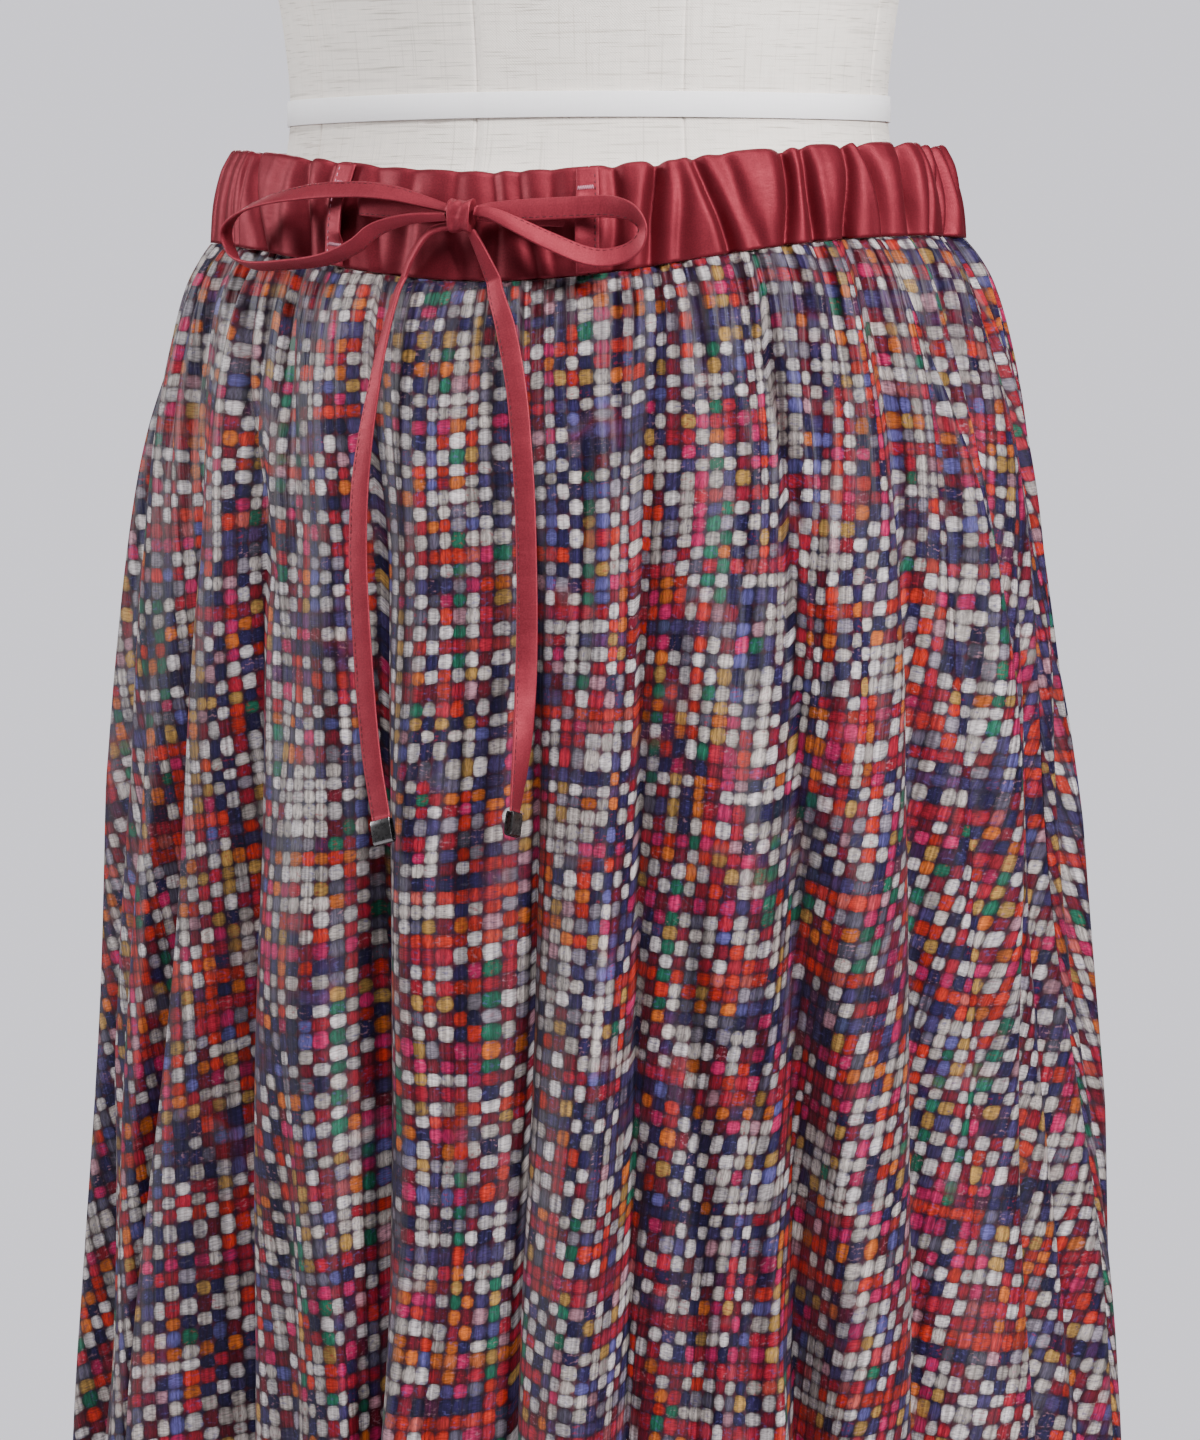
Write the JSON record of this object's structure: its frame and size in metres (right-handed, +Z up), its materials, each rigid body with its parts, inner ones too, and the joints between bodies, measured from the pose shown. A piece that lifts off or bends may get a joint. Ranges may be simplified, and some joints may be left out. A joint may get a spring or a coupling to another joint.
{
  "type": "maxi skirt on dress form",
  "caption": "Long gathered skirt with a printed cloth body, an elastic satin waistband and a flat ribbon tie, shown on a limbless dress form with a round stand.",
  "frame": {"origin": "middle of the stand base's flat underside, on the floor", "axes": "+Z up the pole; the skirt's front faces -Y and its wearer's left is +X"},
  "size_m": [0.4502, 0.3614, 1.4863],
  "materials": {
    "form_linen": "plain linen with slubs, over a hard shell",
    "form_wood": "satin varnish",
    "waist_tape": "white cotton tape",
    "stand_metal": "satin powder coat",
    "pole_metal": "brushed",
    "skirt_print": "crinkled georgette printed with a many-coloured basket weave",
    "waistband_satin": "satin",
    "tie_satin": "satin, edge-stitched",
    "tie_end_metal": "dark polished"
  },
  "bodies": {
    "root": {"form_torso": "form_linen", "form_arm_plate_l": "form_wood", "form_arm_plate_r": "form_wood", "form_neck_cap": "form_wood", "form_waist_tape": "waist_tape", "stand_base": "stand_metal", "stand_pole": "pole_metal", "skirt_front": "skirt_print", "skirt_back": "skirt_print", "waistband_front": "waistband_satin", "waistband_back": "waistband_satin", "slit_strip_l": "waistband_satin", "slit_strip_r": "waistband_satin", "tie_lead_l": "tie_satin", "tie_lead_r": "tie_satin", "tie_loop_l": "tie_satin", "tie_loop_r": "tie_satin", "tie_knot": "tie_satin", "tie_tail_l": "tie_satin", "tie_tail_r": "tie_satin", "tie_end_l": "tie_end_metal", "tie_end_r": "tie_end_metal"}
  },
  "joints": []
}
